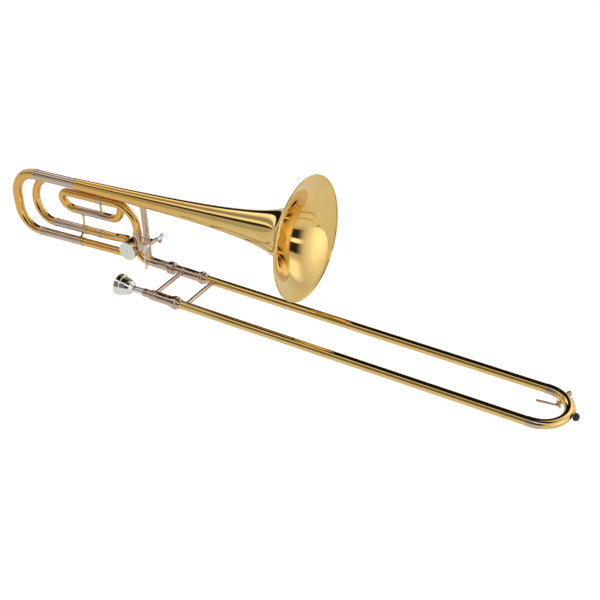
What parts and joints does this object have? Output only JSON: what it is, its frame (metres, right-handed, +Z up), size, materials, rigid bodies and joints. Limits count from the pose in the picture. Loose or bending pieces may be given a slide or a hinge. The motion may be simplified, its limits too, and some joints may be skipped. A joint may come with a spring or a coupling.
{
  "type": "trombone",
  "caption": "Tenor trombone with a hand slide, flared bell, rotary valve with extra tubing, thumb trigger, tuning slides and a removable mouthpiece.",
  "frame": {"origin": "middle of the inner slide's hand brace, where the left hand holds the instrument, on the plane of the two slide tubes", "axes": "+X along the hand slide towards its bow, +Y towards the bell side, +Z up from the slide towards the bell"},
  "size_m": [1.1556, 0.221, 0.2728],
  "materials": {
    "yellow_brass": "polished, clear lacquered",
    "nickel_silver": "polished nickel silver",
    "chromed_nickel": "hard chrome, ground smooth",
    "silver_plate": "polished silver plate",
    "steel": "bright steel",
    "rubber": "black moulded rubber",
    "cork": "natural cork"
  },
  "bodies": {
    "inner_slide": {"mouthpiece_side_inner_tube": "chromed_nickel", "bell_side_inner_tube": "chromed_nickel", "inner_slide_stockings": "chromed_nickel", "mouthpiece_side_cork_barrel": "nickel_silver", "bell_side_cork_barrel": "nickel_silver", "slide_corks": "cork", "bell_side_barrel_ring": "nickel_silver", "hand_brace": "nickel_silver", "mouthpiece_receiver": "nickel_silver", "leadpipe": "yellow_brass", "bell_tenon": "nickel_silver"},
    "outer_slide": {"mouthpiece_side_outer_tube": "yellow_brass", "bell_side_outer_tube": "yellow_brass", "outer_slide_end_rings": "nickel_silver", "outer_brace": "nickel_silver", "slide_bow": "yellow_brass", "bow_ferrules": "nickel_silver", "bow_fittings": "yellow_brass", "rubber_bumper": "rubber", "water_key_mounts": "yellow_brass", "water_key_pin": "steel"},
    "water_key": {"water_key_lever": "nickel_silver", "water_key_cork": "cork"},
    "slide_lock": {"slide_lock_ring": "nickel_silver"},
    "mouthpiece": {"mouthpiece": "silver_plate"},
    "bell_section": {"bell_flare": "yellow_brass", "bell_stem": "yellow_brass", "bell_bead": "yellow_brass", "upper_outer_leg": "nickel_silver", "lower_outer_leg": "nickel_silver", "valve_inlet_tube": "yellow_brass", "gooseneck_elbow": "yellow_brass", "gooseneck": "nickel_silver", "bell_brace": "nickel_silver", "brace_flanges": "yellow_brass", "valve_casing": "nickel_silver", "valve_cap": "chromed_nickel", "rotor_bearing_plates": "yellow_brass", "stop_bumpers": "rubber", "f_inlet_tube": "yellow_brass", "f_left_bow": "yellow_brass", "f_loop_leg": "nickel_silver", "f_right_bow": "yellow_brass", "f_outer_legs": "nickel_silver", "f_return_tube": "yellow_brass", "f_ferrules": "nickel_silver", "f_struts": "yellow_brass", "trigger_bearing": "nickel_silver", "trigger_spring": "steel"},
    "bell_lock_nut": {"bell_lock_nut": "nickel_silver"},
    "main_tuning_slide": {"main_bow": "yellow_brass", "main_inner_legs": "nickel_silver"},
    "f_tuning_slide": {"f_bow": "yellow_brass", "f_inner_legs": "nickel_silver"},
    "trigger": {"trigger_lever": "chromed_nickel", "thumb_paddle": "chromed_nickel"},
    "link_rod": {"link_rod": "nickel_silver"},
    "rotor": {"rotor": "yellow_brass", "rotor_stop_arm": "nickel_silver", "rotor_stop_screw": "steel"}
  },
  "joints": [
    {"name": "hand_slide", "type": "slide", "parent": "inner_slide", "child": "outer_slide", "axis": [1, 0, 0], "range_m": [0, 0.6]},
    {"name": "water_key_hinge", "type": "hinge", "parent": "outer_slide", "child": "water_key", "pos_m": [0.71976, 0.0286, -0.0114], "axis": [-0.809, 0.5878, 0], "range_deg": [0, 12], "stiffness_Nm_per_rad": 0.05, "springref_deg": -34.38},
    {"name": "slide_lock_turn", "type": "hinge", "parent": "inner_slide", "child": "slide_lock", "pos_m": [0.0445, -0.0462, 0], "axis": [1, 0, 0], "range_deg": [0, 30]},
    {"name": "mouthpiece_pull", "type": "slide", "parent": "inner_slide", "child": "mouthpiece", "axis": [-1, 0, 0], "range_m": [0, 0.025]},
    {"name": "bell_section_turn", "type": "hinge", "parent": "inner_slide", "child": "bell_section", "pos_m": [-0.027, 0.0462, 0], "axis": [1, 0, 0], "range_deg": [-60, 30]},
    {"name": "bell_lock_nut_turn", "type": "hinge", "parent": "bell_section", "child": "bell_lock_nut", "pos_m": [-0.0243, 0.0462, 0], "axis": [1, 0, 0], "continuous": true},
    {"name": "main_tuning_pull", "type": "slide", "parent": "bell_section", "child": "main_tuning_slide", "axis": [-0.9986, 0, -0.053], "range_m": [0, 0.06]},
    {"name": "f_tuning_pull", "type": "slide", "parent": "bell_section", "child": "f_tuning_slide", "axis": [-0.9986, 0, -0.053], "range_m": [0, 0.02]},
    {"name": "trigger_press", "type": "hinge", "parent": "bell_section", "child": "trigger", "pos_m": [-0.0657, 0.0462, 0.0421], "axis": [0, -1, 0], "range_deg": [0, 36], "stiffness_Nm_per_rad": 0.12, "springref_deg": -34.38},
    {"name": "link_rod_pivot", "type": "hinge", "parent": "trigger", "child": "link_rod", "pos_m": [-0.07003, 0.0745, 0.02879], "axis": [0, -1, 0], "range_deg": [-36, 0]},
    {"name": "rotor_turn", "type": "hinge", "parent": "bell_section", "child": "rotor", "pos_m": [-0.10934, 0.0462, 0.02036], "axis": [0, 1, 0], "range_deg": [0, 90]}
  ],
  "couplings": [
    {"joint": "link_rod_pivot", "follows": "trigger_press", "ratio": -1},
    {"joint": "rotor_turn", "follows": "trigger_press", "ratio": 2.5}
  ]
}
